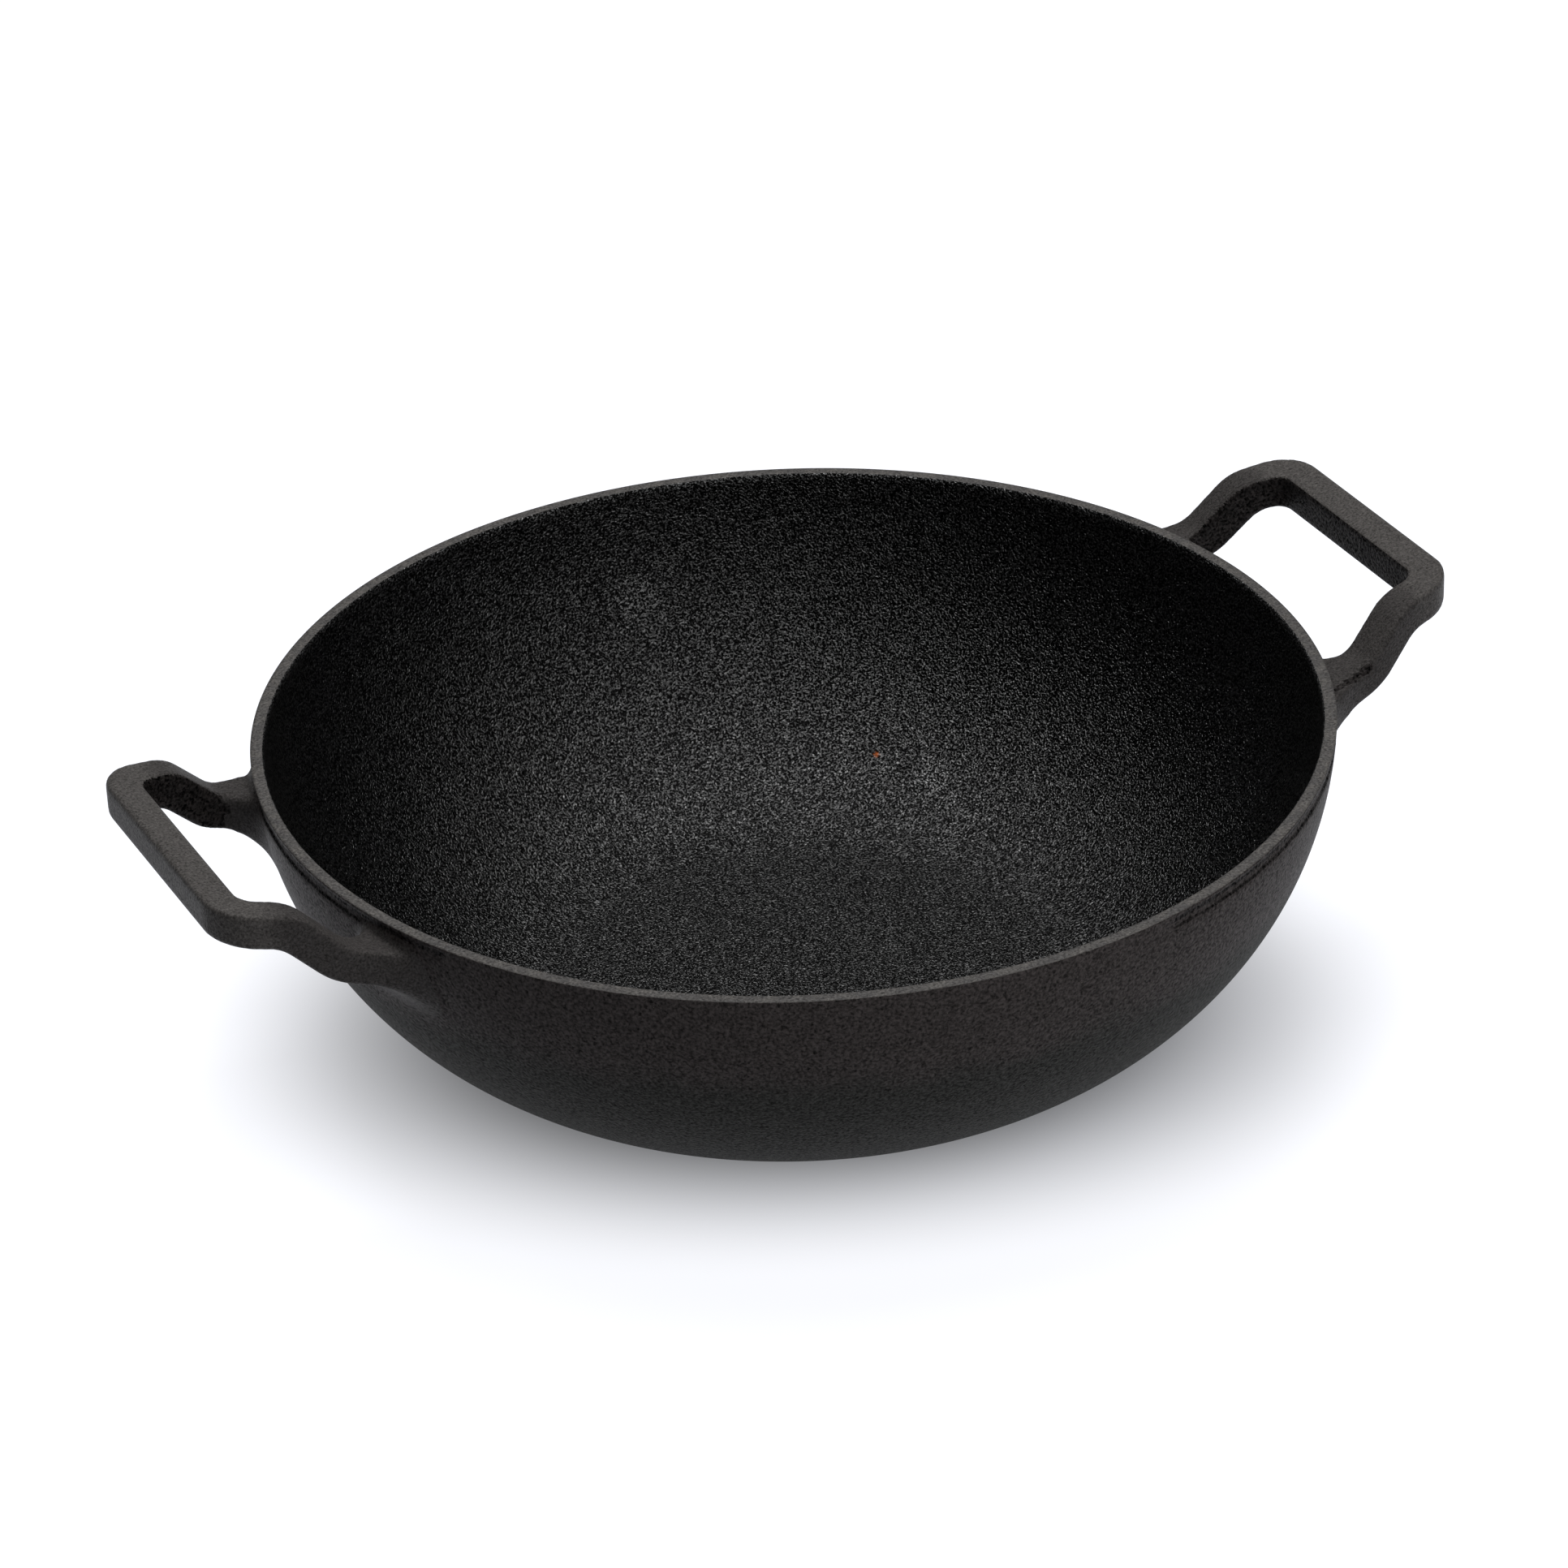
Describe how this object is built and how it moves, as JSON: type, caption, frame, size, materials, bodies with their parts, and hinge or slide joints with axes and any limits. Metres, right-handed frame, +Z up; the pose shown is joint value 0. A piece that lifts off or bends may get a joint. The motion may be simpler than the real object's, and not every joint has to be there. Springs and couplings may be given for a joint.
{
  "type": "kadai",
  "caption": "Cast iron kadai: a deep round-sided bowl on a flat base, with a ground rim and an upswept loop handle on each side.",
  "frame": {"origin": "centre of the flat base, on the surface that it stands on", "axes": "+Z up along the bowl's axis; +X through the right handle and -X through the left handle"},
  "size_m": [0.3512, 0.28, 0.0972],
  "materials": {
    "bowl_iron": "sand-cast, seasoned black, rim land ground flat",
    "handle_iron": "sand-cast, fettled and seasoned black"
  },
  "bodies": {
    "root": {"bowl": "bowl_iron", "handle_left": "handle_iron", "handle_right": "handle_iron"}
  },
  "joints": []
}
